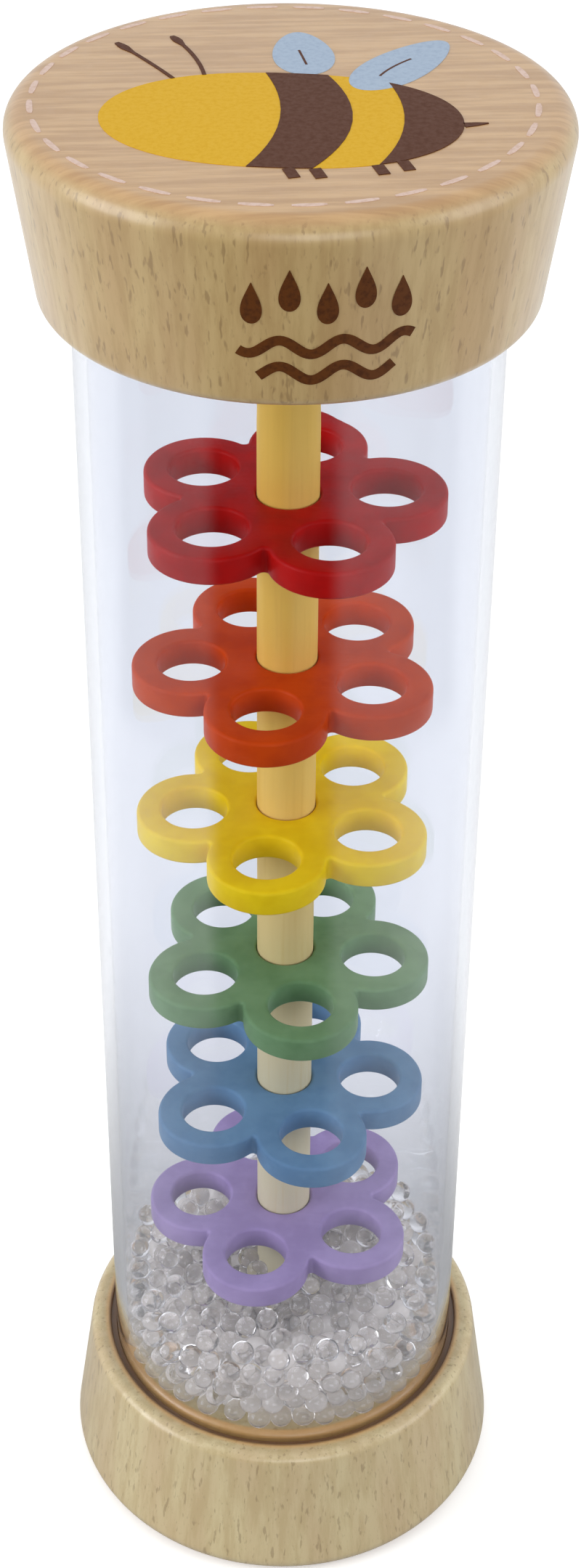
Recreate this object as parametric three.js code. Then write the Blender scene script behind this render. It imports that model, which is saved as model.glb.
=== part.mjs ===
// A 20 cm wooden rain shaker, in millimetres, +Z up, with its origin at the centre of the foot.
//
// Two turned beech caps plug a clear tube, whose ends are glued into a groove in each. A dowel glued into
// both caps runs down the middle and carries six painted flower discs. Small clear beads lie on the base,
// and trickle down through the petals' holes, and between the petals and the tube, when the stick is
// turned over.

import * as THREE from 'three';

// --- Driving dimensions ---------------------------------------------------------------------------------

const HEIGHT = 200;
const GAP = 0.3; // between pieces that touch on the real object

const CAP_HEIGHT = 21;
const CAP_WIDE_RADIUS = 29.4;
const CAP_MOUTH_RADIUS = 27;
const CAP_WIDE_ROUNDING = 2.4;
const CAP_MOUTH_ROUNDING = 1.5;
const GROOVE_DEPTH = 12;
const GROOVE_RADIUS = 23.8;
const GLUE_LEDGE_RADIUS = 24.2; // the groove's wider mouth, where the glue gathers
const GLUE_LEDGE_DEPTH = 0.5;
const BOSS_HEIGHT = 21; // the boss inside the tube, from the cap's wide end to its top
const BOSS_ROUNDING = 1;
const DOWEL_HOLE_DEPTH = 12;

const TUBE_RADIUS = 23.45;
const TUBE_WALL = 1.5;

const DOWEL_RADIUS = 3.55;

const PETALS = 5;
const PETAL_RADIUS = 7;
const PETAL_CENTRE = 11.2; // from the dowel's axis to the middle of a petal
const PETAL_HOLE_RADIUS = 4;
const DISC_THICKNESS = 3.4;
const LOWEST_DISC_TOP = 44.4;
const DISC_PITCH = 22;

// From the lowest disc up. Each was glued by hand, so it has its own turn about the dowel, in degrees,
// and sits slightly off its even place.
const DISCS = [
  { name: 'flower_disc_purple', turn: 35.5, lift: 0, color: 0x9a83bd },
  { name: 'flower_disc_blue', turn: 0, lift: 0, color: 0x5c86b8 },
  { name: 'flower_disc_green', turn: 64, lift: 0, color: 0x5a8c5a },
  { name: 'flower_disc_yellow', turn: 42.5, lift: 0.8, color: 0xe0b428 },
  { name: 'flower_disc_orange', turn: 42, lift: 0.1, color: 0xd0602a },
  { name: 'flower_disc_red', turn: 6.3, lift: 0, color: 0xb0262c },
];

const BEAD_RADIUS = 1.5;
const HEAP_TOP = 35; // at its edge
const HEAP_CROWN = 2; // how far the heap's middle stands above its edge
const LOOSE_BEADS = 24; // beads on the heap's edge that are modelled one by one
const BEAD_SCATTER_ANGLE = 2; // degrees either way
const BEAD_SCATTER_HEIGHT = 0.5;

const ROUND_SEGMENTS = 72;
const DOWEL_SEGMENTS = 32;
const HEAP_SEGMENTS = 36;
const PETAL_SEGMENTS = 14;
const HOLE_SEGMENTS = 20;
const ROUNDING_SEGMENTS = 4;

// --- Worked out from them -------------------------------------------------------------------------------

const tubeInnerRadius = TUBE_RADIUS - TUBE_WALL;
const grooveFloor = CAP_HEIGHT - GROOVE_DEPTH;
const bossRadius = tubeInnerRadius - GAP;
const dowelHoleFloor = BOSS_HEIGHT - DOWEL_HOLE_DEPTH;
const dowelHoleRadius = DOWEL_RADIUS + GAP;
const tubeEnd = grooveFloor + GAP;
const petalTip = PETAL_CENTRE + PETAL_RADIUS;
const beadRing = (petalTip + tubeInnerRadius) / 2; // the beads' way down past the petals
const heapRingInner = beadRing - BEAD_RADIUS - GAP;

// --- Materials ------------------------------------------------------------------------------------------

const beech = () => new THREE.MeshStandardMaterial({ color: 0xcdb48c, roughness: 0.6, metalness: 0 });
const paleWood = () => new THREE.MeshStandardMaterial({ color: 0xdcc48c, roughness: 0.65, metalness: 0 });
const paint = (color) => new THREE.MeshStandardMaterial({ color, roughness: 0.5, metalness: 0 });
const clearPlastic = (opacity) => new THREE.MeshStandardMaterial({
  color: 0xe6ecf5,
  roughness: 0.08,
  metalness: 0,
  transparent: true,
  opacity,
});

// --- Shapes ---------------------------------------------------------------------------------------------

function turned(profile, segments) {
  // A turned solid about +Z. The profile holds [radius, height] pairs, up the outside and down the inside.
  const points = profile.map(([radius, height]) => new THREE.Vector2(radius, height));
  const geometry = new THREE.LatheGeometry(points, segments);
  geometry.rotateX(Math.PI / 2);
  return geometry;
}

function arc(centre, radius, fromDegrees, toDegrees, segments) {
  const points = [];
  for (let i = 0; i <= segments; i += 1) {
    const angle = THREE.MathUtils.degToRad(fromDegrees + ((toDegrees - fromDegrees) * i) / segments);
    points.push([centre[0] + radius * Math.cos(angle), centre[1] + radius * Math.sin(angle)]);
  }
  return points;
}

function named(name, geometry, material) {
  const mesh = new THREE.Mesh(geometry, material);
  mesh.name = name;
  return mesh;
}

// --- Sub-parts ------------------------------------------------------------------------------------------

function cap(name) {
  // A tapered cap standing on its wide end, with a groove for the tube's end round a boss that plugs the
  // tube, and a blind hole for the dowel in the boss.
  const straightRise = CAP_HEIGHT - CAP_WIDE_ROUNDING - CAP_MOUTH_ROUNDING;
  const lean = THREE.MathUtils.radToDeg(Math.atan2(CAP_WIDE_RADIUS - CAP_MOUTH_RADIUS, straightRise));
  const foot = [CAP_WIDE_RADIUS - CAP_WIDE_ROUNDING, CAP_WIDE_ROUNDING];
  const rim = [CAP_MOUTH_RADIUS - CAP_MOUTH_ROUNDING, CAP_HEIGHT - CAP_MOUTH_ROUNDING];
  const bossEdge = [bossRadius - BOSS_ROUNDING, BOSS_HEIGHT - BOSS_ROUNDING];
  const profile = [
    [0, 0],
    ...arc(foot, CAP_WIDE_ROUNDING, -90, lean, ROUNDING_SEGMENTS),
    ...arc(rim, CAP_MOUTH_ROUNDING, lean, 90, ROUNDING_SEGMENTS),
    [GLUE_LEDGE_RADIUS, CAP_HEIGHT],
    [GLUE_LEDGE_RADIUS, CAP_HEIGHT - GLUE_LEDGE_DEPTH],
    [GROOVE_RADIUS, CAP_HEIGHT - GLUE_LEDGE_DEPTH],
    [GROOVE_RADIUS, grooveFloor],
    [bossRadius, grooveFloor],
    ...arc(bossEdge, BOSS_ROUNDING, 0, 90, ROUNDING_SEGMENTS),
    [dowelHoleRadius, BOSS_HEIGHT],
    [dowelHoleRadius, dowelHoleFloor],
    [0, dowelHoleFloor],
  ];
  return named(name, turned(profile, ROUND_SEGMENTS), beech());
}

function tube() {
  const profile = [
    [TUBE_RADIUS, tubeEnd],
    [TUBE_RADIUS, HEIGHT - tubeEnd],
    [tubeInnerRadius, HEIGHT - tubeEnd],
    [tubeInnerRadius, tubeEnd],
    [TUBE_RADIUS, tubeEnd],
  ];
  return named('tube', turned(profile, ROUND_SEGMENTS), clearPlastic(0.25));
}

function dowel() {
  const length = HEIGHT - 2 * (dowelHoleFloor + GAP);
  const geometry = new THREE.CylinderGeometry(DOWEL_RADIUS, DOWEL_RADIUS, length, DOWEL_SEGMENTS);
  geometry.rotateX(Math.PI / 2);
  const mesh = named('dowel', geometry, paleWood());
  mesh.position.z = HEIGHT / 2;
  return mesh;
}

function circlePath(x, y, radius) {
  const points = arc([x, y], radius, 360, 360 / HOLE_SEGMENTS, HOLE_SEGMENTS - 1);
  return new THREE.Path(points.map(([px, py]) => new THREE.Vector2(px, py)));
}

function flowerShape() {
  // Five round petals that run into each other, with a hole in each and one for the dowel.
  const petalPitch = 360 / PETALS;
  const halfPitch = THREE.MathUtils.degToRad(petalPitch / 2);
  const halfDistance = PETAL_CENTRE * Math.sin(halfPitch);
  const notch = PETAL_CENTRE * Math.cos(halfPitch) + Math.sqrt(PETAL_RADIUS ** 2 - halfDistance ** 2);
  const notchX = notch * Math.cos(halfPitch) - PETAL_CENTRE;
  const halfSweep = THREE.MathUtils.radToDeg(Math.atan2(notch * Math.sin(halfPitch), notchX));
  const outline = [];
  const holes = [circlePath(0, 0, dowelHoleRadius)];
  for (let i = 0; i < PETALS; i += 1) {
    const direction = THREE.MathUtils.degToRad(petalPitch * i);
    const x = PETAL_CENTRE * Math.cos(direction);
    const y = PETAL_CENTRE * Math.sin(direction);
    const start = petalPitch * i - halfSweep;
    const sweep = arc([x, y], PETAL_RADIUS, start, start + 2 * halfSweep, PETAL_SEGMENTS);
    sweep.pop(); // the next petal starts at this notch
    outline.push(...sweep);
    holes.push(circlePath(x, y, PETAL_HOLE_RADIUS));
  }
  const shape = new THREE.Shape(outline.map(([x, y]) => new THREE.Vector2(x, y)));
  shape.holes = holes;
  return shape;
}

function flowerDisc({ name, turn, lift, color }, index) {
  const geometry = new THREE.ExtrudeGeometry(flowerShape(), { depth: DISC_THICKNESS, bevelEnabled: false });
  const mesh = named(name, geometry, paint(color));
  mesh.rotation.z = THREE.MathUtils.degToRad(turn);
  mesh.position.z = LOWEST_DISC_TOP + DISC_PITCH * index + lift - DISC_THICKNESS;
  return mesh;
}

function beadHeap() {
  // The bulk of the beads as they lie on the base cap's boss, as one ring round the dowel.
  const outer = tubeInnerRadius - GAP;
  const inner = dowelHoleRadius;
  const floor = BOSS_HEIGHT + GAP;
  const edgeTop = HEAP_TOP - 2 * BEAD_RADIUS;
  const profile = [
    [outer, floor],
    [outer, edgeTop],
    [heapRingInner, edgeTop],
    [heapRingInner - BEAD_RADIUS, HEAP_TOP - BEAD_RADIUS],
    [(heapRingInner + inner) / 2, HEAP_TOP + HEAP_CROWN / 2],
    [inner, HEAP_TOP + HEAP_CROWN],
    [inner, floor],
    [outer, floor],
  ];
  return named('bead_heap', turned(profile, HEAP_SEGMENTS), clearPlastic(0.6));
}

function looseBead(index) {
  // One bead lying on the heap's edge, in the ring where it can travel clear past every petal.
  const angle = (360 * index) / LOOSE_BEADS + BEAD_SCATTER_ANGLE * Math.sin(3.7 * index);
  const rise = BEAD_SCATTER_HEIGHT * (1 + Math.cos(2.3 * index));
  const name = `bead_${String(index + 1).padStart(2, '0')}`;
  const mesh = named(name, new THREE.IcosahedronGeometry(BEAD_RADIUS, 1), clearPlastic(0.6));
  mesh.position.x = beadRing * Math.cos(THREE.MathUtils.degToRad(angle));
  mesh.position.y = beadRing * Math.sin(THREE.MathUtils.degToRad(angle));
  mesh.position.z = HEAP_TOP - BEAD_RADIUS + GAP + rise;
  return mesh;
}

// --- Assembly -------------------------------------------------------------------------------------------

const rainstick = new THREE.Group();

rainstick.add(cap('base_cap'));

const topCap = cap('top_cap');
topCap.rotation.x = Math.PI;
topCap.position.z = HEIGHT;
rainstick.add(topCap);

rainstick.add(tube());
rainstick.add(dowel());
rainstick.add(...DISCS.map(flowerDisc));
rainstick.add(beadHeap());

for (let index = 0; index < LOOSE_BEADS; index += 1) {
  rainstick.add(looseBead(index));
}

export default rainstick;
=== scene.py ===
"""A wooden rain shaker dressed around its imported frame: turned beech caps, a clear tube, painted flower
discs on a dowel, a heap of clear beads, and the prints on the top cap. Lengths are millimetres until they
reach a mesh, which is in metres, as the floor and the lights are."""

import math

import bmesh
import bpy
import numpy as np
from mathutils import Matrix, Vector


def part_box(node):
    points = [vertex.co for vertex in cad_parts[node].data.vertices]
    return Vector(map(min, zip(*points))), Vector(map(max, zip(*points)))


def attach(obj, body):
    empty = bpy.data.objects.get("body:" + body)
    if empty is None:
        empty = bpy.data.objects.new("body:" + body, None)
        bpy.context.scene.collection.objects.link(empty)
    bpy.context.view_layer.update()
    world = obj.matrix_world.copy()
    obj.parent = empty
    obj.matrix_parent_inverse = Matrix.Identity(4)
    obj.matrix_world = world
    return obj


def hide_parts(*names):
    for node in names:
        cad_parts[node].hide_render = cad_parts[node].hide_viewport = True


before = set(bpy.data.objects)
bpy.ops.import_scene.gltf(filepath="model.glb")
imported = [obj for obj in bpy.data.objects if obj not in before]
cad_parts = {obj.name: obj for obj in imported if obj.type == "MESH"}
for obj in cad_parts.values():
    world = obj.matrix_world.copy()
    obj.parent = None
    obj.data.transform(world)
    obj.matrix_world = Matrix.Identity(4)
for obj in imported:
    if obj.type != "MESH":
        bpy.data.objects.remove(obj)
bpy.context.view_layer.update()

MM = 0.001
ROOT = "rainstick"


# --- Sizes ----------------------------------------------------------------------------------------------

def box_mm(node):
    """A node's lowest and highest corners, in millimetres."""
    low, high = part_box(node)
    return [c / MM for c in low], [c / MM for c in high]


base_high = box_mm("base_cap")[1]
top_high = box_mm("top_cap")[1]
tube_low, tube_high = box_mm("tube")
dowel_low, dowel_high = box_mm("dowel")
heap_high = box_mm("bead_heap")[1]

HEIGHT = top_high[2]
CAP_HEIGHT = 21
CAP_WIDE_RADIUS = base_high[1]
CAP_MOUTH_RADIUS = 27
CAP_WIDE_ROUNDING = 2.4
CAP_MOUTH_ROUNDING = 1.5
GROOVE_FLOOR = tube_low[2] - 0.2
GROOVE_LEDGE_RADIUS = 24.2  # the groove's wider mouth
GROOVE_LEDGE_DEPTH = 0.5
RIM_BREAK = 0.25
TUBE_RADIUS = tube_high[0]
TUBE_WALL = 1.5
TUBE_INNER_RADIUS = TUBE_RADIUS - TUBE_WALL
GROOVE_RADIUS = TUBE_RADIUS + 0.05
BOSS_RADIUS = TUBE_INNER_RADIUS - 0.05
BOSS_ROUNDING = 1
DARK_RING_STARTS = (BOSS_RADIUS + 0.3, BOSS_RADIUS + 0.8)  # the radii over which a dark brown ring in and beside the groove fades in
DARK_RING_ENDS = (24.8, 24.3)  # and out again, on the rim
PAINTED_GLOW_STARTS = (BOSS_RADIUS - 1.2, BOSS_RADIUS - 0.6)  # the same for the painted golden glow on either side of it: painted light for the lit wood seen through the tube's foot
PAINTED_GLOW_ENDS = (25.4, 24.4)
PAINTED_GLOW_STRENGTH = 0.7
DOWEL_RADIUS = dowel_high[0]
DOWEL_HOLE_FLOOR = dowel_low[2] - 0.2
ROUND_STEPS = 192  # round a cap or the tube

COLOURS = ("purple", "blue", "green", "yellow", "orange", "red")
TURNS = (35.5, 0, 64, 42.5, 42, 6.3)  # degrees about the dowel, from the lowest disc up
PETALS = 5
PETAL_RADIUS = 7
PETAL_CENTRE = 11.2
PETAL_HOLE_RADIUS = 4
NOTCH_RADIUS = 0.5
DISC_ROUNDING = 0.45
HOLE_STEPS = 48

BEAD_RADIUS = 1.5
HEAP_COUNT = 860
SETTLE_STEPS = 260
SETTLE_PUSH = 0.3  # the share of an overlap by which each step moves either bead
SETTLE_SINK = 0.05  # how far beads sink in the first step
HEAP_SKIN = 2  # how far inside the heap's outer beads others still count as at its surface
HEAP_UNEVENNESS = 0.8  # how much higher than others a bead at the bottom can lie
LOOSE_BEADS = sorted(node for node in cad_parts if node.startswith("bead_") and node != "bead_heap")

STITCH_CENTRE = (-0.7, 0.3)  # the print sits slightly off the cap's middle
STITCH_RADIUS = 25.9
STITCHES = 32
STITCH_LENGTH = 3.4
STITCH_WIDTH = 0.65


# --- Camera, light and floor ----------------------------------------------------------------------------

CAMERA_PLACE = (0.1, -260, 305.6)
CAMERA_DOWN = 36.48  # degrees below the horizontal
CAMERA_YAW = -0.09
CAMERA_ROLL = 0.46
CAMERA_LENS = 61.29  # on a 36 mm long side

ROOM_LIGHT = (0.88, 0.9, 0.93, 1)
ROOM_GAP = (0.14, 0.14, 0.14, 1)
GAP_EDGES = (0.36, 0.56)  # the cosines, from straight ahead, of the gap's outer and inner edges
FLOOR_GLOW = 0.25  # added to what the camera sees of the table, so that it is as white as the room
PAINTED_DARK_FRONT = (40, 145)  # millimetres in front of the object over which the table's painted dark fades in, as if it ended there: painted shade that its reflections show
PAINTED_DARK_LEFT = (-1.05, -0.7)  # the painted dark part's slanted sides, as the run across for each step to the front
PAINTED_DIM_RIGHT = (0.62, 0.36)
PAINTED_GREY_REACH = (195, 215)  # and the distances from the axis over which the table is painted grey further out
PAINTED_SHADE_REACH = (105, 155)  # the distances from the axis over which its painted shade beside the object turns paler
PAINTED_SHADE_BACK = (-90, -20)  # where the painted shade begins, behind the object


def add_camera():
    data = bpy.data.cameras.new("camera")
    data.lens = CAMERA_LENS
    data.sensor_width = 36
    data.clip_start = 0.01
    camera = bpy.data.objects.new("camera", data)
    bpy.context.scene.collection.objects.link(camera)
    place = Matrix.Translation(Vector(CAMERA_PLACE) * MM)
    yaw = Matrix.Rotation(math.radians(CAMERA_YAW), 4, "Z")
    down = Matrix.Rotation(math.radians(90 - CAMERA_DOWN), 4, "X")
    roll = Matrix.Rotation(math.radians(CAMERA_ROLL), 4, "Z")
    camera.matrix_world = place @ yaw @ down @ roll
    bpy.context.scene.camera = camera


def add_softbox(name, place, aim, size, watts):
    """A rectangular light, in metres."""
    data = bpy.data.lights.new(name, "AREA")
    data.shape = "RECTANGLE"
    data.size = size[0]
    data.size_y = size[1]
    data.energy = watts
    light = bpy.data.objects.new(name, data)
    bpy.context.scene.collection.objects.link(light)
    light.location = place
    light.rotation_euler = (Vector(aim) - Vector(place)).to_track_quat("-Z", "Y").to_euler()


def add_world():
    """A white room with a soft dark gap in front, where there is no reflecting card. A camera that looks
    straight at it sees plain white."""
    world = bpy.data.worlds.new("studio")
    bpy.context.scene.world = world
    world.use_nodes = True
    tree = world.node_tree
    tree.nodes.clear()
    direction = add_node(tree, "ShaderNodeTexCoord")
    parts = add_node(tree, "ShaderNodeSeparateXYZ")
    tree.links.new(direction.outputs["Generated"], parts.inputs[0])
    front = maths(tree, "DIVIDE", maths(tree, "MULTIPLY", parts.outputs["Y"], -1), from_axis(tree, parts))
    gap = ranged(tree, front, *GAP_EDGES)
    low = ranged(tree, parts.outputs["Z"], 0.9, 0.65)
    dark = maths(tree, "MULTIPLY", gap, low)
    lit = mixed(tree, dark, ROOM_LIGHT, ROOM_GAP)
    paths = add_node(tree, "ShaderNodeLightPath")
    colour = mixed(tree, paths.outputs["Is Camera Ray"], lit, (1, 1, 1, 1))
    background = add_node(tree, "ShaderNodeBackground", Strength=1.0)
    tree.links.new(colour, background.inputs["Color"])
    output = add_node(tree, "ShaderNodeOutputWorld")
    tree.links.new(background.outputs[0], output.inputs["Surface"])


def from_axis(tree, parts):
    """The distance from the vertical axis, from a separated vector."""
    across = maths(tree, "MULTIPLY", parts.outputs["X"], parts.outputs["X"])
    along = maths(tree, "MULTIPLY", parts.outputs["Y"], parts.outputs["Y"])
    return maths(tree, "SQRT", maths(tree, "ADD", across, along))


def add_floor():
    half = 3.0
    vertices = [(-half, -half, 0), (half, -half, 0), (half, half, 0), (-half, half, 0)]
    mesh = bpy.data.meshes.new("floor")
    mesh.from_pydata(vertices, [], [(0, 1, 2, 3)])
    floor = bpy.data.objects.new("floor", mesh)
    floor.location.z = -0.1 * MM
    bpy.context.scene.collection.objects.link(floor)
    mesh.materials.append(floor_material())


# --- Node helpers ---------------------------------------------------------------------------------------

def add_node(tree, kind, **values):
    node = tree.nodes.new(kind)
    for name, value in values.items():
        node.inputs[name.replace("_", " ")].default_value = value
    return node


def plug(tree, socket, value):
    if isinstance(value, bpy.types.NodeSocket):
        tree.links.new(value, socket)
    else:
        socket.default_value = value


def maths(tree, operation, first, second=0.0):
    node = tree.nodes.new("ShaderNodeMath")
    node.operation = operation
    plug(tree, node.inputs[0], first)
    plug(tree, node.inputs[1], second)
    return node.outputs[0]


def ranged(tree, value, low, high, to_low=0.0, to_high=1.0):
    """The value's share of the way from low to high, smoothed, as to_low to to_high."""
    node = tree.nodes.new("ShaderNodeMapRange")
    node.interpolation_type = "SMOOTHSTEP"
    plug(tree, node.inputs["Value"], value)
    flipped = low > high
    node.inputs["From Min"].default_value = high if flipped else low
    node.inputs["From Max"].default_value = low if flipped else high
    node.inputs["To Min"].default_value = to_high if flipped else to_low
    node.inputs["To Max"].default_value = to_low if flipped else to_high
    return node.outputs["Result"]


def mixed(tree, share, first, second, blend="MIX"):
    node = tree.nodes.new("ShaderNodeMix")
    node.data_type = "RGBA"
    node.blend_type = blend
    plug(tree, node.inputs["Factor"], share)
    plug(tree, node.inputs["A"], first)
    plug(tree, node.inputs["B"], second)
    return node.outputs["Result"]


def place_mm(tree):
    """The point on the object, in millimetres of the part's own frame."""
    coordinates = tree.nodes.new("ShaderNodeTexCoord")
    return scaled(tree, coordinates.outputs["Object"], (1 / MM, 1 / MM, 1 / MM))


def scaled(tree, vector, factors):
    node = tree.nodes.new("ShaderNodeVectorMath")
    node.operation = "MULTIPLY"
    plug(tree, node.inputs[0], vector)
    node.inputs[1].default_value = factors
    return node.outputs[0]


def noise(tree, vector, scale, detail=2.0, roughness=0.5):
    node = add_node(tree, "ShaderNodeTexNoise", Scale=scale, Detail=detail, Roughness=roughness)
    plug(tree, node.inputs["Vector"], vector)
    return node.outputs[0]


def bumped(tree, height, strength, distance):
    node = add_node(tree, "ShaderNodeBump", Strength=strength, Distance=distance * MM)
    tree.links.new(height, node.inputs["Height"])
    return node.outputs["Normal"]


def new_material(name):
    """A material with one Principled shader on its output."""
    material = bpy.data.materials.new(name)
    material.use_nodes = True
    tree = material.node_tree
    tree.nodes.clear()
    shader = tree.nodes.new("ShaderNodeBsdfPrincipled")
    output = tree.nodes.new("ShaderNodeOutputMaterial")
    tree.links.new(shader.outputs[0], output.inputs["Surface"])
    return material, tree, shader


def srgb(red, green, blue):
    """A screen colour of 0 to 255 as the linear colour that the shaders use."""
    linear = [((c / 255 + 0.055) / 1.055) ** 2.4 if c > 10 else c / 255 / 12.92 for c in (red, green, blue)]
    return (*linear, 1)


# --- Materials ------------------------------------------------------------------------------------------

def floor_material():
    """A white table. To everything but the camera it has painted shade, which reflections and bounced light
    show:
    it is greyer beside the object, and painted dark in front of it, as if it ended there in the room's dark
    gap straight ahead, half grey to the right, and grey further out, as if on a grey floor."""
    material, tree, shader = new_material("floor_white")
    place = place_mm(tree)
    cloud = noise(tree, place, 0.004)
    white = mixed(tree, cloud, (0.95, 0.95, 0.95, 1), (0.98, 0.98, 0.98, 1))
    parts = tree.nodes.new("ShaderNodeSeparateXYZ")
    tree.links.new(place, parts.inputs[0])
    front = maths(tree, "MULTIPLY", parts.outputs["Y"], -1)
    slant = maths(tree, "DIVIDE", parts.outputs["X"], front)
    left = ranged(tree, slant, *PAINTED_DARK_LEFT)
    right = ranged(tree, slant, *PAINTED_DIM_RIGHT)
    # painted shade ahead of the object: dark, and half grey to the right
    painted_dark = mixed(tree, right, (0.5, 0.5, 0.5, 1), (0.015, 0.015, 0.015, 1))
    painted_dark_share = maths(tree, "MULTIPLY", ranged(tree, front, *PAINTED_DARK_FRONT), left)
    distance = from_axis(tree, parts)
    # painted shade: greyer beside the object, and grey further out
    apart = ranged(tree, distance, *PAINTED_SHADE_REACH)
    painted_shade = mixed(tree, apart, (0.5, 0.5, 0.5, 1), (0.88, 0.88, 0.88, 1))
    away = ranged(tree, distance, *PAINTED_GREY_REACH)
    painted_shade = mixed(tree, away, painted_shade, (0.4, 0.4, 0.4, 1))
    painted_for_rays = mixed(tree, ranged(tree, front, *PAINTED_SHADE_BACK), white, painted_shade)
    painted_for_rays = mixed(tree, painted_dark_share, painted_for_rays, painted_dark)
    paths = add_node(tree, "ShaderNodeLightPath")
    colour = mixed(tree, paths.outputs["Is Camera Ray"], painted_for_rays, white)
    tree.links.new(colour, shader.inputs["Base Color"])
    shader.inputs["Roughness"].default_value = 0.9
    shader.inputs["Specular IOR Level"].default_value = 0
    shader.inputs["Emission Color"].default_value = (1, 1, 1, 1)
    glow = maths(tree, "MULTIPLY", paths.outputs["Is Camera Ray"], FLOOR_GLOW)
    tree.links.new(glow, shader.inputs["Emission Strength"])
    return material


def beech_material(name, tint):
    """Turned beech: short dark flecks and fine streaks up the side, soft lines from left to right across
    the outer end, and about the tube a dark brown ring in and beside the groove, with a painted golden glow
    on
    either side of it: painted light for the lit wood seen through the tube's foot. The side's tint is
    painted light and shade for each cap."""
    material, tree, shader = new_material(name)
    place = place_mm(tree)
    parts = tree.nodes.new("ShaderNodeSeparateXYZ")
    tree.links.new(place, parts.inputs[0])
    from_middle = maths(tree, "ABSOLUTE", maths(tree, "SUBTRACT", parts.outputs["Z"], HEIGHT / 2))
    coordinates = tree.nodes.new("ShaderNodeTexCoord")
    facing = tree.nodes.new("ShaderNodeSeparateXYZ")
    tree.links.new(coordinates.outputs["Normal"], facing.inputs[0])
    upright = ranged(tree, maths(tree, "ABSOLUTE", facing.outputs["Z"]), 0.5, 0.98)
    outer = maths(tree, "MULTIPLY", upright, ranged(tree, from_middle, HEIGHT / 2 - 6, HEIGHT / 2 - 3))

    streaks = noise(tree, scaled(tree, place, (1, 1, 0.03)), 0.75, 4.0, 0.65)
    broad = noise(tree, scaled(tree, place, (1, 1, 0.15)), 0.16, 2.0)
    side = mixed(tree, ranged(tree, broad, 0.35, 0.65), srgb(204, 177, 126), srgb(196, 164, 116))
    side = mixed(tree, ranged(tree, streaks, 0.38, 0.66, 0, 0.55), side, srgb(176, 144, 92))
    flecks = speckled(tree, scaled(tree, place, (1, 1, 0.2)), 1.7, 0.6, 0.7)
    specks = speckled(tree, scaled(tree, place, (1, 1, 0.3)), 3.2, 0.62, 0.76)
    marks = maths(tree, "MAXIMUM", flecks, maths(tree, "MULTIPLY", specks, 0.6))
    side = mixed(tree, maths(tree, "MULTIPLY", marks, 0.45), side, srgb(122, 90, 50))
    # painted light and shade: the tint makes this cap's side paler and greyer on the foot cap, darker on the
    # top cap
    side = mixed(tree, 1.0, side, tint, "MULTIPLY")

    lines = noise(tree, scaled(tree, turned_about(tree, place, -4), (0.07, 1, 0.2)), 0.75, 3.0, 0.6)
    fine = noise(tree, scaled(tree, place, (0.12, 1, 0.2)), 2.6, 2.0)
    end = mixed(tree, ranged(tree, lines, 0.36, 0.64), srgb(199, 158, 105), srgb(177, 134, 81))
    end = mixed(tree, ranged(tree, fine, 0.5, 0.75, 0, 0.35), end, srgb(168, 127, 81))

    colour = mixed(tree, outer, side, end)
    # painted light: a golden glow on the wood about the groove
    painted_glow = groove_ring(tree, parts, from_middle, PAINTED_GLOW_STARTS, PAINTED_GLOW_ENDS)
    colour = mixed(tree, maths(tree, "MULTIPLY", painted_glow, PAINTED_GLOW_STRENGTH), colour, srgb(208, 151, 76))
    # a dark brown ring in and beside the groove
    dark_ring = groove_ring(tree, parts, from_middle, DARK_RING_STARTS, DARK_RING_ENDS)
    colour = mixed(tree, dark_ring, colour, srgb(102, 64, 18))
    tree.links.new(colour, shader.inputs["Base Color"])
    tree.links.new(ranged(tree, streaks, 0.2, 0.8, 0.4, 0.55), shader.inputs["Roughness"])
    tree.links.new(bumped(tree, maths(tree, "SUBTRACT", streaks, marks), 0.2, 0.05), shader.inputs["Normal"])
    shader.inputs["Coat Weight"].default_value = 0.9
    shader.inputs["Coat Roughness"].default_value = 0.3
    return material


def speckled(tree, vector, scale, low, high):
    """Scattered short marks: 1 on them, 0 between them."""
    return ranged(tree, noise(tree, vector, scale, 2.0, 0.5), low, high)


def turned_about(tree, vector, degrees):
    node = tree.nodes.new("ShaderNodeVectorRotate")
    node.rotation_type = "Z_AXIS"
    tree.links.new(vector, node.inputs["Vector"])
    node.inputs["Angle"].default_value = math.radians(degrees)
    return node.outputs["Vector"]


def groove_ring(tree, parts, from_middle, starts, ends):
    """1 in either cap's groove and beside it at the rim's height, and 0 elsewhere. It fades in over the two
    radii of starts and out over those of ends."""
    radius = from_axis(tree, parts)
    ring = maths(tree, "MULTIPLY", ranged(tree, radius, *starts), ranged(tree, radius, *ends))
    rim = HEIGHT / 2 - CAP_HEIGHT
    end = HEIGHT / 2 - GROOVE_FLOOR
    deep = maths(
        tree,
        "MULTIPLY",
        ranged(tree, from_middle, rim - 0.5, rim + 0.1),
        ranged(tree, from_middle, end + 1, end + 0.5),
    )
    return maths(tree, "MULTIPLY", ring, deep)


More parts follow.
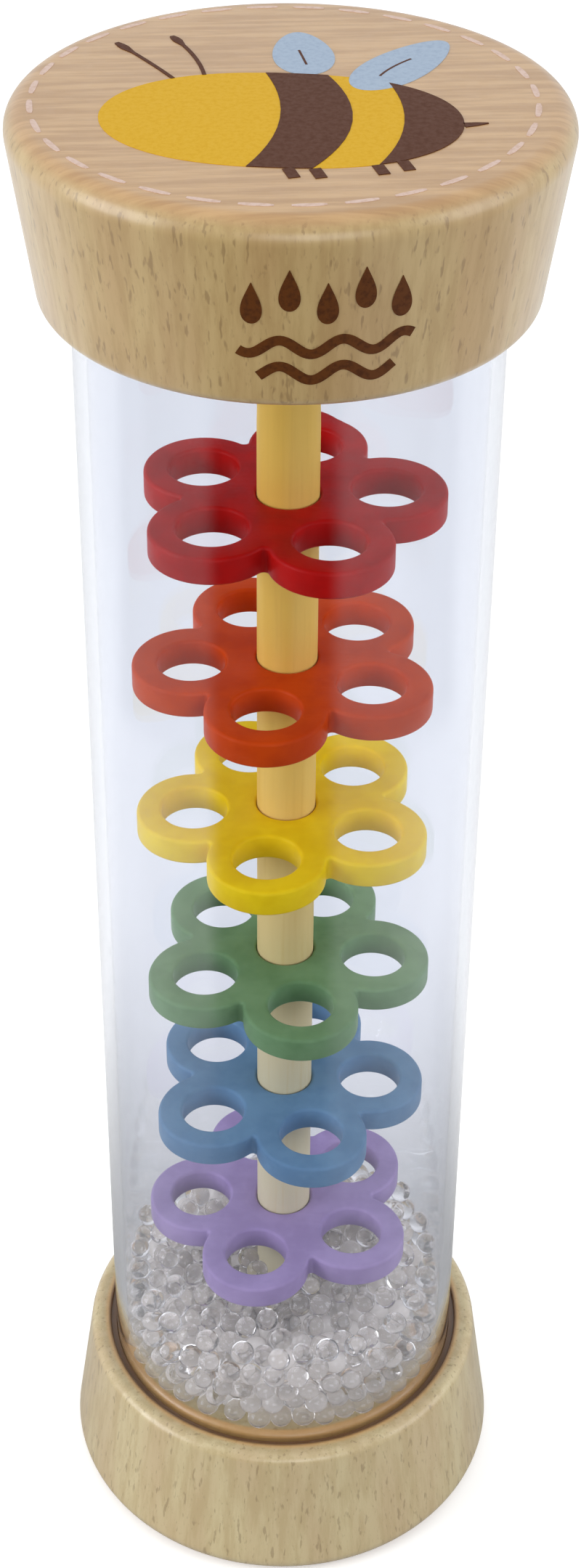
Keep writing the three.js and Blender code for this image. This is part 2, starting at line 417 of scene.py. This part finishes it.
def dowel_material():
    """Yellow straight-grained dowel wood, paler towards the foot."""
    material, tree, shader = new_material("dowel_wood")
    place = place_mm(tree)
    fibre = noise(tree, scaled(tree, place, (1, 1, 0.03)), 2.2, 3.0, 0.6)
    broad = noise(tree, scaled(tree, place, (1, 1, 0.04)), 0.3, 1.0)
    parts = tree.nodes.new("ShaderNodeSeparateXYZ")
    tree.links.new(place, parts.inputs[0])
    colour = mixed(tree, ranged(tree, broad, 0.35, 0.65), srgb(238, 202, 106), srgb(230, 190, 88))
    colour = mixed(tree, ranged(tree, parts.outputs["Z"], 130, 55), colour, srgb(214, 204, 172))
    colour = mixed(tree, ranged(tree, fibre, 0.45, 0.85, 0, 0.25), colour, srgb(202, 160, 82))
    tree.links.new(colour, shader.inputs["Base Color"])
    tree.links.new(ranged(tree, fibre, 0.2, 0.8, 0.5, 0.65), shader.inputs["Roughness"])
    tree.links.new(bumped(tree, fibre, 0.2, 0.05), shader.inputs["Normal"])
    shader.inputs["Specular IOR Level"].default_value = 0.2
    return material


def paint_material(name, colour, shade):
    """Satin paint on plywood: the grain and the plies show faintly through it."""
    material, tree, shader = new_material(name)
    place = place_mm(tree)
    cloud = noise(tree, place, 0.22, 3.0, 0.6)
    grain = noise(tree, scaled(tree, place, (0.12, 1, 1)), 1.8, 3.0, 0.6)
    speckle = noise(tree, place, 3.5, 2.0)
    face = mixed(tree, ranged(tree, cloud, 0.3, 0.7), colour, shade)
    face = mixed(tree, ranged(tree, grain, 0.5, 0.8, 0, 0.25), face, shade)
    tree.links.new(face, shader.inputs["Base Color"])
    tree.links.new(ranged(tree, speckle, 0.3, 0.7, 0.38, 0.5), shader.inputs["Roughness"])
    height = maths(tree, "ADD", grain, maths(tree, "MULTIPLY", speckle, 0.4))
    tree.links.new(bumped(tree, height, 0.3, 0.06), shader.inputs["Normal"])
    shader.inputs["Specular IOR Level"].default_value = 0.1
    return material


def lets_light_through(tree, shader, tint):
    """Lets lamps and soft light pass straight through clear plastic, tinted, to what is behind it."""
    output = next(node for node in tree.nodes if node.type == "OUTPUT_MATERIAL")
    paths = tree.nodes.new("ShaderNodeLightPath")
    soft = maths(tree, "MAXIMUM", paths.outputs["Is Shadow Ray"], paths.outputs["Is Diffuse Ray"])
    clear = tree.nodes.new("ShaderNodeBsdfTransparent")
    clear.inputs["Color"].default_value = tint
    mix = tree.nodes.new("ShaderNodeMixShader")
    tree.links.new(soft, mix.inputs[0])
    tree.links.new(shader.outputs[0], mix.inputs[1])
    tree.links.new(clear.outputs[0], mix.inputs[2])
    tree.links.new(mix.outputs[0], output.inputs["Surface"])


def tube_material():
    """Clear acrylic, very slightly blue, with faint handling marks."""
    material, tree, shader = new_material("clear_tube")
    place = place_mm(tree)
    smudge = noise(tree, scaled(tree, place, (1, 1, 0.5)), 0.12, 3.0, 0.6)
    tree.links.new(ranged(tree, smudge, 0.5, 0.8, 0.0, 0.03), shader.inputs["Roughness"])
    shader.inputs["Base Color"].default_value = (0.885, 0.9, 0.945, 1)
    shader.inputs["Transmission Weight"].default_value = 1
    shader.inputs["IOR"].default_value = 1.49
    lets_light_through(tree, shader, (0.95, 0.955, 0.97, 1))
    return material


def bead_material(name, clearness, light, shade):
    """Moulded beads: clear plastic, or the same with haze inside, which on the heap's inner beads is painted
    light.
    """
    material, tree, shader = new_material(name)
    place = place_mm(tree)
    haze = noise(tree, place, 0.5, 2.0)
    tree.links.new(mixed(tree, ranged(tree, haze, 0.35, 0.65), light, shade), shader.inputs["Base Color"])
    tree.links.new(ranged(tree, noise(tree, place, 1.1), 0.4, 0.7, 0.0, 0.03), shader.inputs["Roughness"])
    shader.inputs["Transmission Weight"].default_value = clearness
    shader.inputs["IOR"].default_value = 1.45
    lets_light_through(tree, shader, (0.975, 0.97, 0.965, 1))
    return material


def ink_material(name, colour, shade):
    """Flat printing ink, thin enough for the wood's pores to mottle it."""
    material, tree, shader = new_material(name)
    place = place_mm(tree)
    mottle = noise(tree, place, 1.6, 3.0, 0.65)
    tree.links.new(mixed(tree, ranged(tree, mottle, 0.4, 0.72), colour, shade), shader.inputs["Base Color"])
    tree.links.new(ranged(tree, mottle, 0.3, 0.7, 0.42, 0.55), shader.inputs["Roughness"])
    tree.links.new(bumped(tree, mottle, 0.06, 0.03), shader.inputs["Normal"])
    shader.inputs["Specular IOR Level"].default_value = 0.15
    return material


# --- Mesh helpers ---------------------------------------------------------------------------------------

def make_piece(name, vertices, faces, material, body=ROOT, stands_for=()):
    """A piece from vertices in millimetres, smooth except at its sharp edges."""
    mesh = bpy.data.meshes.new(name)
    mesh.from_pydata([(x * MM, y * MM, z * MM) for x, y, z in vertices], [], faces)
    shaped = bmesh.new()
    shaped.from_mesh(mesh)
    bmesh.ops.recalc_face_normals(shaped, faces=shaped.faces)
    shaped.to_mesh(mesh)
    shaped.free()
    mesh.materials.append(material)
    mesh.shade_smooth()
    mesh.set_sharp_from_angle(angle=math.radians(40))
    piece = bpy.data.objects.new(name, mesh)
    bpy.context.scene.collection.objects.link(piece)
    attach(piece, body)
    if stands_for:
        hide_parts(*stands_for)
    return piece


def arc(centre, radius, start, end, steps):
    """Points of an arc, angles in degrees, both ends included."""
    angles = [math.radians(start + (end - start) * i / steps) for i in range(steps + 1)]
    return [(centre[0] + radius * math.cos(a), centre[1] + radius * math.sin(a)) for a in angles]


def turned(profile, segments):
    """A solid turned about +Z from (radius, height) pairs, up the outside and down the inside. A profile
    that starts off the axis closes on itself."""
    vertices = []
    rings = []
    for radius, height in profile:
        count = segments if radius > 0 else 1
        rings.append([len(vertices) + i for i in range(count)])
        for i in range(count):
            angle = 2 * math.pi * i / segments
            vertices.append((radius * math.cos(angle), radius * math.sin(angle), height))
    pairs = list(zip(rings, rings[1:]))
    if profile[0][0] > 0:
        pairs.append((rings[-1], rings[0]))
    faces = []
    for low, high in pairs:
        for i in range(segments):
            j = (i + 1) % segments
            corners = (low[i % len(low)], low[j % len(low)], high[j % len(high)], high[i % len(high)])
            faces.append(tuple(dict.fromkeys(corners)))
    return vertices, faces


def between(start, end, steps):
    """Points from start to end, without either."""
    return [
        tuple(a + (b - a) * i / steps for a, b in zip(start, end))
        for i in range(1, steps)
    ]


# --- Caps, tube and dowel -------------------------------------------------------------------------------

def cap_edges():
    """The cap's rounded outer edges, from the foot and to the mouth, as (radius, height) pairs."""
    rise = CAP_HEIGHT - CAP_WIDE_ROUNDING - CAP_MOUTH_ROUNDING
    lean = math.degrees(math.atan2(CAP_WIDE_RADIUS - CAP_MOUTH_RADIUS, rise))
    foot_centre = (CAP_WIDE_RADIUS - CAP_WIDE_ROUNDING, CAP_WIDE_ROUNDING)
    mouth_centre = (CAP_MOUTH_RADIUS - CAP_MOUTH_ROUNDING, CAP_HEIGHT - CAP_MOUTH_ROUNDING)
    foot = arc(foot_centre, CAP_WIDE_ROUNDING, -90, lean, 14)
    mouth = arc(mouth_centre, CAP_MOUTH_ROUNDING, lean, 90, 8)
    return foot, mouth


def cap_profile():
    foot, mouth = cap_edges()
    rim_centre = (GROOVE_LEDGE_RADIUS + RIM_BREAK, CAP_HEIGHT - RIM_BREAK)
    ledge = CAP_HEIGHT - GROOVE_LEDGE_DEPTH
    boss_centre = (BOSS_RADIUS - BOSS_ROUNDING, CAP_HEIGHT - BOSS_ROUNDING)
    hole_radius = DOWEL_RADIUS + 0.1
    profile = [(0, 0)]
    profile += between((0, 0), foot[0], 8)
    profile += foot
    profile += between(foot[-1], mouth[0], 6)
    profile += mouth
    profile += arc(rim_centre, RIM_BREAK, 90, 180, 4)
    profile += [(GROOVE_LEDGE_RADIUS, ledge), (GROOVE_RADIUS, ledge)]
    profile += [(GROOVE_RADIUS, GROOVE_FLOOR), (BOSS_RADIUS, GROOVE_FLOOR)]
    profile += arc(boss_centre, BOSS_ROUNDING, 0, 90, 8)
    profile += between((boss_centre[0], CAP_HEIGHT), (hole_radius, CAP_HEIGHT), 6)
    profile += [(hole_radius, CAP_HEIGHT), (hole_radius, DOWEL_HOLE_FLOOR), (0, DOWEL_HOLE_FLOOR)]
    return profile


def add_caps():
    vertices, faces = turned(cap_profile(), ROUND_STEPS)
    # painted light and shade: both caps are one beech, the foot cap's side painted paler and greyer, the top
    # cap's darker
    painted_paler_wood = beech_material("beech_painted_paler", (0.95, 1.08, 1.26, 1))
    make_piece("turned_base_cap", vertices, faces, painted_paler_wood, stands_for=("base_cap",))
    upside_down = [(x, -y, HEIGHT - z) for x, y, z in vertices]
    painted_darker_wood = beech_material("beech_painted_darker", (0.88, 0.86, 0.79, 1))
    make_piece("turned_top_cap", upside_down, faces, painted_darker_wood, stands_for=("top_cap",))


def add_tube():
    edge = 0.25
    outer = TUBE_RADIUS
    inner = TUBE_INNER_RADIUS
    low = tube_low[2]
    high = tube_high[2]
    profile = [(outer, low + edge), *between((outer, low + edge), (outer, high - edge), 12)]
    profile += arc((outer - edge, high - edge), edge, 0, 90, 3)
    profile += arc((inner + edge, high - edge), edge, 90, 180, 3)
    profile += between((inner, high - edge), (inner, low + edge), 12)
    profile += arc((inner + edge, low + edge), edge, 180, 270, 3)
    profile += arc((outer - edge, low + edge), edge, 270, 360, 3)[:-1]
    vertices, faces = turned(profile, ROUND_STEPS)
    make_piece("clear_tube", vertices, faces, tube_material(), stands_for=("tube",))


def add_dowel():
    edge = 0.5
    low = dowel_low[2]
    high = dowel_high[2]
    profile = [(0, low), (DOWEL_RADIUS - edge, low), (DOWEL_RADIUS, low + edge)]
    profile += between((DOWEL_RADIUS, low + edge), (DOWEL_RADIUS, high - edge), 24)
    profile += [(DOWEL_RADIUS, high - edge), (DOWEL_RADIUS - edge, high), (0, high)]
    vertices, faces = turned(profile, 96)
    make_piece("sanded_dowel", vertices, faces, dowel_material(), stands_for=("dowel",))


# --- Flower discs ---------------------------------------------------------------------------------------

def flower_outline(inset, turn):
    """The flower's outline drawn in by inset, its notches filleted, turned by so many degrees."""
    half = 180 / PETALS
    side = PETAL_CENTRE * math.sin(math.radians(half))
    reach = PETAL_CENTRE * math.cos(math.radians(half))
    notch = reach + math.sqrt((PETAL_RADIUS + NOTCH_RADIUS) ** 2 - side**2)
    notch_x = notch * math.cos(math.radians(half))
    notch_y = notch * math.sin(math.radians(half))
    sweep = math.degrees(math.atan2(notch_y, notch_x - PETAL_CENTRE))
    points = []
    for petal in range(PETALS):
        facing = turn + petal * 2 * half
        middle = polar(PETAL_CENTRE, facing)
        points += arc(middle, PETAL_RADIUS - inset, facing - sweep, facing + sweep, 40)[:-1]
        corner = polar(notch, facing + half)
        start = facing + sweep - 180
        points += arc(corner, NOTCH_RADIUS + inset, start, 2 * (facing + half) - 360 - start, 8)[:-1]
    return points


def polar(radius, degrees):
    return (radius * math.cos(math.radians(degrees)), radius * math.sin(math.radians(degrees)))


def edge_steps(thickness):
    """(inset, height) pairs up a disc's edge, round at both faces."""
    low = arc((DISC_ROUNDING, DISC_ROUNDING), DISC_ROUNDING, 270, 180, 5)
    high = arc((DISC_ROUNDING, thickness - DISC_ROUNDING), DISC_ROUNDING, 180, 90, 5)
    return low + high


def hole_loop(centre, radius):
    """What gives a hole's outline, widened by an inset, as flower_outline does for the disc."""
    return lambda inset: arc(centre, radius + inset, 360, 360 / HOLE_STEPS, HOLE_STEPS - 1)


def flower_disc(name, node, turn, material):
    low, high = box_mm(node)
    thickness = high[2] - low[2]
    shaped = bmesh.new()
    loops = [lambda inset: flower_outline(inset, turn)]
    for petal in range(PETALS):
        middle = polar(PETAL_CENTRE, turn + petal * 360 / PETALS)
        loops.append(hole_loop(middle, PETAL_HOLE_RADIUS))
    loops.append(hole_loop((0, 0), DOWEL_RADIUS + 0.05))
    faces_edges = ([], [])
    for loop in loops:
        rings = []
        for inset, height in edge_steps(thickness):
            ring = [shaped.verts.new((x * MM, y * MM, (low[2] + height) * MM)) for x, y in loop(inset)]
            rings.append(ring)
        for lower, upper in zip(rings, rings[1:]):
            for i in range(len(lower)):
                shaped.faces.new((lower[i - 1], lower[i], upper[i], upper[i - 1]))
        for edges, ring in zip(faces_edges, (rings[0], rings[-1])):
            edges += [shaped.edges.get((ring[i - 1], ring[i])) for i in range(len(ring))]
    for edges in faces_edges:
        bmesh.ops.triangle_fill(shaped, use_beauty=True, edges=edges)
    vertices = [tuple(c / MM for c in v.co) for v in shaped.verts]
    shaped.verts.index_update()
    faces = [tuple(v.index for v in face.verts) for face in shaped.faces]
    shaped.free()
    make_piece(name, vertices, faces, material, stands_for=(node,))


PAINTS = {
    "purple": (srgb(166, 145, 193), srgb(151, 130, 178)),
    "blue": (srgb(101, 140, 175), srgb(87, 125, 161)),
    "green": (srgb(112, 148, 106), srgb(98, 134, 92)),
    "yellow": (srgb(242, 210, 24), srgb(230, 194, 16)),
    "orange": (srgb(206, 70, 6), srgb(190, 60, 5)),
    "red": (srgb(186, 12, 8), srgb(166, 9, 7)),
}


def add_discs():
    for colour, turn in zip(COLOURS, TURNS):
        material = paint_material(f"{colour}_paint", *PAINTS[colour])
        flower_disc(f"painted_disc_{colour}", f"flower_disc_{colour}", turn, material)


# --- Beads ----------------------------------------------------------------------------------------------

def loose_places():
    """The middles of the beads that are modelled one by one."""
    places = []
    for node in LOOSE_BEADS:
        low, high = box_mm(node)
        places.append([(a + b) / 2 for a, b in zip(low, high)])
    return np.array(places)


def close_pairs(beads, fixed):
    """The pairs of beads that lie near each other, with the fixed beads numbered after the rest."""
    every = np.concatenate([beads, fixed])
    squares = (beads**2).sum(1)[:, None] + (every**2).sum(1)[None, :] - 2 * beads @ every.T
    first, second = np.nonzero(squares < (2.8 * BEAD_RADIUS) ** 2)
    apart = first != second
    return first[apart], second[apart]


def settled_heap(count, seed):
    """Bead middles that fill the base: beads that start loose, sink, and push each other apart."""
    rng = np.random.default_rng(seed)
    fixed = loose_places()
    near = DOWEL_RADIUS + BEAD_RADIUS
    far = TUBE_INNER_RADIUS - BEAD_RADIUS
    floor = CAP_HEIGHT + BEAD_RADIUS + rng.uniform(0, HEAP_UNEVENNESS, count)
    ceiling = heap_high[2] + 0.2 - BEAD_RADIUS
    radius = np.sqrt(rng.uniform(near**2, far**2, count))
    angle = rng.uniform(0, 2 * math.pi, count)
    height = rng.uniform(floor, ceiling, count)
    beads = np.stack([radius * np.cos(angle), radius * np.sin(angle), height], 1)
    for step in range(SETTLE_STEPS):
        if step % 8 == 0:
            first, second = close_pairs(beads, fixed)
        every = np.concatenate([beads, fixed])
        offset = beads[first] - every[second]
        distance = np.maximum(np.sqrt((offset**2).sum(1)), 0.01)
        overlap = np.clip(2 * BEAD_RADIUS - distance, 0, None)
        push = offset * (overlap / distance)[:, None]
        for axis in range(3):
            beads[:, axis] += SETTLE_PUSH * np.bincount(first, push[:, axis], count)
        beads[:, 2] -= SETTLE_SINK * (1 - step / SETTLE_STEPS)
        held = np.hypot(beads[:, 0], beads[:, 1])
        beads[:, :2] *= (np.clip(held, near, far) / held)[:, None]
        across = np.hypot(*(beads[:, None, :2] - fixed[None, :, :2]).transpose(2, 0, 1))
        under = np.sqrt(np.clip((2 * BEAD_RADIUS) ** 2 - across**2, 0, None))
        lid = np.where(across < 2 * BEAD_RADIUS, fixed[None, :, 2] - under, ceiling).min(1)
        beads[:, 2] = np.clip(beads[:, 2], floor, np.maximum(lid, floor))
    return beads


def bead_ball():
    """A unit ball's vertices and faces."""
    ball = bmesh.new()
    bmesh.ops.create_icosphere(ball, subdivisions=3, radius=1)
    vertices = np.array([v.co for v in ball.verts])
    faces = np.array([[v.index for v in face.verts] for face in ball.faces])
    ball.free()
    return vertices, faces


def bead_shape(ball, rng):
    """One moulded bead: a slightly squashed ball lying any way up."""
    squash = rng.uniform(0.93, 1.06, 3)
    spin = Matrix.Rotation(rng.uniform(0, 6.28), 3, Vector(rng.normal(size=3)))
    return (ball * squash * BEAD_RADIUS) @ np.array(spin)


def heap_layers(beads):
    """Sorts the beads into the heap's clear surface, the mistier foot of that surface, and the hazy inside,
    which mostly lies behind others. The inside's haze is painted light: it gives back the light that clear
    beads would pass among themselves."""
    from_wall = TUBE_INNER_RADIUS - BEAD_RADIUS - np.hypot(beads[:, 0], beads[:, 1])
    from_top = heap_high[2] - BEAD_RADIUS - beads[:, 2]
    outer = (from_wall < HEAP_SKIN) | (from_top < 2 * HEAP_SKIN)
    on_boss = beads[:, 2] < CAP_HEIGHT + 2 * BEAD_RADIUS
    return {"clear": outer & ~on_boss, "misty": outer & on_boss, "hazy": ~outer}


def add_heap(materials):
    beads = settled_heap(HEAP_COUNT, seed=5)
    rng = np.random.default_rng(11)
    ball, ball_faces = bead_ball()
    for layer, chosen in heap_layers(beads).items():
        places = beads[chosen]
        vertices = np.concatenate([bead_shape(ball, rng) + place for place in places]).tolist()
        faces = np.concatenate([ball_faces + len(ball) * i for i in range(len(places))]).tolist()
        name = f"bead_heap_{layer}"
        make_piece(name, vertices, faces, materials[layer], "bead_heap", ("bead_heap",))


def add_loose_beads(material):
    rng = np.random.default_rng(23)
    ball, ball_faces = bead_ball()
    for node, place in zip(LOOSE_BEADS, loose_places()):
        vertices = bead_shape(ball, rng) + place
        name = node.replace("bead", "clear_bead")
        make_piece(name, vertices.tolist(), ball_faces.tolist(), material, node, (node,))


# --- Prints ---------------------------------------------------------------------------------------------

INK_SUNK = 0.03
OVAL_STEPS = 72
OVAL_RINGS = 8


def on_top_face(x, y, proud):
    return (x, y, HEIGHT + proud)


def on_cap_front(x, y, proud):
    """A point on the top cap's tapered side: x round from the front, y up from the cap's lower rim."""
    foot, mouth = cap_edges()
    (low_radius, low), (high_radius, high) = foot[-1], mouth[0]
    share = (CAP_HEIGHT - y - low) / (high - low)
    radius = low_radius + (high_radius - low_radius) * share + proud
    angle = x / radius
    return (radius * math.sin(angle), -radius * math.cos(angle), HEIGHT - CAP_HEIGHT + y)


def oval(centre, half_length, half_width, tilt=0, point=0.0):
    """A filled oval as rings of points round its middle. With point near 1 its far end is drawn out to a
    tip, as a drop's or a wing's is."""
    turn = math.radians(tilt)
    rings = []
    for ring in range(1, OVAL_RINGS + 1):
        points = []
        for i in range(OVAL_STEPS):
            angle = 2 * math.pi * i / OVAL_STEPS
            pinch = 1 - point * (0.5 + 0.5 * math.cos(angle)) ** 1.5
            x = ring / OVAL_RINGS * half_length * math.cos(angle)
            y = ring / OVAL_RINGS * half_width * math.sin(angle) * pinch
            points.append((
                centre[0] + x * math.cos(turn) - y * math.sin(turn),
                centre[1] + x * math.sin(turn) + y * math.cos(turn),
            ))
        rings.append(points)
    points = [centre] + [p for ring in rings for p in ring]
    faces = [(0, 1 + i, 1 + (i + 1) % OVAL_STEPS) for i in range(OVAL_STEPS)]
    for ring in range(OVAL_RINGS - 1):
        start = 1 + OVAL_STEPS * ring
        for i in range(OVAL_STEPS):
            j = (i + 1) % OVAL_STEPS
            faces.append((start + i, start + OVAL_STEPS + i, start + OVAL_STEPS + j, start + j))
    return points, faces


def grid(rows):
    """A filled patch from rows of points, each as long as the next."""
    points = [point for row in rows for point in row]
    width = len(rows[0])
    faces = []
    for row in range(len(rows) - 1):
        for k in range(width - 1):
            corner = row * width + k
            faces.append((corner, corner + 1, corner + 1 + width, corner + width))
    return points, faces


def band(left, right, across=4):
    """A filled strip between two rows of points."""
    rows = []
    for a, b in zip(left, right):
        rows.append([tuple(p + (q - p) * k / across for p, q in zip(a, b)) for k in range(across + 1)])
    return grid(rows)


def stroke(path, width):
    """A line of the given width along a path, with width a number or one for each point."""
    widths = width if isinstance(width, (list, tuple)) else [width] * len(path)
    left, right = [], []
    for i, (x, y) in enumerate(path):
        before = path[max(i - 1, 0)]
        after = path[min(i + 1, len(path) - 1)]
        run = math.hypot(after[0] - before[0], after[1] - before[1])
        across = (-(after[1] - before[1]) / run, (after[0] - before[0]) / run)
        half = widths[i] / 2
        left.append((x + across[0] * half, y + across[1] * half))
        right.append((x - across[0] * half, y - across[1] * half))
    return band(left, right)


def printed(name, shapes, material, surface, proud):
    """Thin ink in the given shapes on a surface, each shape a closed skin."""
    vertices, faces = [], []
    for points, patches in shapes:
        start = len(vertices)
        count = len(points)
        vertices += [surface(x, y, proud) for x, y in points]
        vertices += [surface(x, y, -INK_SUNK) for x, y in points]
        edges = {}
        for patch in patches:
            faces.append(tuple(start + i for i in patch))
            faces.append(tuple(start + count + i for i in reversed(patch)))
            for a, b in zip(patch, patch[1:] + patch[:1]):
                if (b, a) in edges:
                    del edges[(b, a)]
                else:
                    edges[(a, b)] = True
        for a, b in edges:
            faces.append((start + b, start + a, start + count + a, start + count + b))
    make_piece(name, vertices, faces, material)


def add_stitch_ring():
    """A ring of dashes round the top face, like a running stitch."""
    dashes = []
    for i in range(STITCHES):
        middle = 360 * (i + 0.5) / STITCHES
        half = math.degrees(STITCH_LENGTH / 2 / STITCH_RADIUS)
        path = arc(STITCH_CENTRE, STITCH_RADIUS, middle - half, middle + half, 6)
        dashes.append(stroke(path, [STITCH_WIDTH * f for f in (0.55, 0.9, 1, 1, 1, 0.9, 0.55)]))
    ink = ink_material("stitch_ink", srgb(216, 190, 176), srgb(204, 174, 156))
    printed("printed_stitches", dashes, ink, on_top_face, 0.04)


BEE_MIDDLE = (-1, -5)
BEE_HALF_LENGTH = 18.4
BEE_HALF_WIDTH = 12
BEE_TIP = 0.9999 * BEE_HALF_LENGTH
BEE_TILT = -4
BEE_BANDS = ((-2.5, 2.4), (4, 3.2), (10.4, 2))  # where colours change along the body, and each edge's bow


def bee_place(x, y):
    """A point of the bee, x towards its tail, on the top face."""
    turn = math.radians(BEE_TILT)
    return (
        BEE_MIDDLE[0] + x * math.cos(turn) - y * math.sin(turn),
        BEE_MIDDLE[1] + x * math.sin(turn) + y * math.cos(turn),
    )


def bee_reach(along):
    """Half the body's width at a place along it."""
    return BEE_HALF_WIDTH * math.sqrt(1 - abs(along / BEE_HALF_LENGTH) ** 2.4)


def bee_part(start, end):
    """The part of the body between two places along it, each with the bow of its edge."""
    rows = []
    for i in range(25):
        share = (1 - math.cos(math.pi * i / 24)) / 2
        along, bow = (a + (b - a) * share for a, b in zip(start, end))
        lifts = [math.sin(math.radians(-90 + 180 * k / 16)) for k in range(17)]
        rows.append([bee_place(along + bow * (1 - lift**2), lift * bee_reach(along)) for lift in lifts])
    return grid(rows)


def add_bee():
    """A plain bee of simple shapes: an oval body in bands, two wings and feelers, with no face."""
    yellow = ink_material("yellow_ink", srgb(216, 168, 10), srgb(211, 161, 8))
    brown = ink_material("brown_ink", srgb(84, 42, 14), srgb(78, 38, 12))
    wing = ink_material("wing_ink", srgb(164, 180, 198), srgb(154, 170, 190))
    head = (-BEE_TIP, 0)
    waist, back, tail = BEE_BANDS
    printed("printed_bee_yellow", [bee_part(head, waist), bee_part(back, tail)], yellow, on_top_face, 0.04)
    wings = [oval((1.2, 12.6), 6, 3.6, 96, 0.3), oval((11.6, 9.6), 8.2, 3.8, 55, 0.3)]
    printed("printed_bee_wings", wings, wing, on_top_face, 0.06)
    bulb = [0.42] * 13 + [0.7, 1, 0.9, 0.5]
    feelers = [
        stroke(curve((-12.2, 5.4), (-14.6, 9.6), (-18.6, 15.2)), bulb),
        stroke(curve((-9, 6.4), (-9.8, 12), (-12.8, 17.2)), bulb),
    ]
    sting = stroke([bee_place(BEE_HALF_LENGTH + x, 0.3 * x) for x in (0, 1.2, 2.4)], [1.1, 0.8, 0.2])
    legs = []
    for x in (1.6, 4.2, 10.2, 12.6):
        hip = bee_place(x, -bee_reach(x) - 0.1)
        foot = bee_place(x + 0.8, -bee_reach(x) - 2.2)
        legs.append(stroke([hip, foot], 1.2))
    veins = [
        stroke(curve((1.6, 9.4), (1.2, 11.4), (0.8, 13.4)), 0.25),
        stroke(curve((9.2, 6.4), (10.2, 8.8), (12.6, 11.2)), 0.25),
    ]
    bands = [bee_part(waist, back), bee_part(tail, (BEE_TIP, 0))]
    printed("printed_bee_brown", [*bands, *feelers, sting, *legs, *veins], brown, on_top_face, 0.08)


def curve(start, middle, end, steps=16):
    """Points of a smooth bend from start to end, drawn towards middle."""
    points = []
    for i in range(steps + 1):
        t = i / steps
        weights = ((1 - t) ** 2, 2 * t * (1 - t), t * t)
        points.append(tuple(sum(w * p[k] for w, p in zip(weights, (start, middle, end))) for k in (0, 1)))
    return points


def add_burnt_mark():
    """A burnt mark on the front of the top cap: raindrops over two wavy lines."""
    burnt = ink_material("burnt_wood", srgb(94, 52, 20), srgb(74, 38, 14))
    middle_x = 3.7
    drops = []
    for i in range(5):
        x = middle_x + 3.7 * (i - 2)
        y = 12.2 + (1.5 if i % 2 else 0)
        drops.append(oval((x, y), 2.3, 1.35, 90, 0.85))
    waves = []
    for row in range(2):
        path = [
            (middle_x + x, 7.3 - 3 * row + 0.8 * math.sin(x * 2 * math.pi / 6.2))
            for x in np.linspace(-8.7 + 2 * row, 8.7 - 2 * row, 73)
        ]
        waves.append(stroke(path, 1.1))
    printed("burnt_raindrops", [*drops, *waves], burnt, on_cap_front, 0.05)


# --- Scene ----------------------------------------------------------------------------------------------

def set_colours():
    bpy.context.scene.view_settings.view_transform = "Standard"


set_colours()
add_camera()
add_world()
add_softbox("softbox_left", (-1.1, -0.4, 0.5), (0, 0, 0.1), (0.8, 0.8), 9)
add_softbox("softbox_right", (1.1, -0.3, 0.6), (0, 0, 0.1), (0.8, 0.8), 4.5)
add_softbox("softbox_front", (0.2, -1.2, 0.5), (0, 0, 0.1), (0.9, 0.6), 5.5)
add_floor()
add_caps()
add_tube()
add_dowel()
add_discs()
bead_plastics = {
    "clear": bead_material("clear_beads", 0.98, (0.99, 0.975, 0.96, 1), (0.97, 0.95, 0.93, 1)),
    "misty": bead_material("misty_beads", 0.88, (0.99, 0.965, 0.94, 1), (0.96, 0.93, 0.9, 1)),
    # painted light: the inner beads are hazy, to give back light that clear beads would pass among
    # themselves
    "hazy": bead_material("hazy_beads_painted_light", 0.62, (0.99, 0.947, 0.905, 1), (0.94, 0.893, 0.85, 1)),
}
add_heap(bead_plastics)
add_loose_beads(bead_plastics["clear"])
add_stitch_ring()
add_bee()
add_burnt_mark()
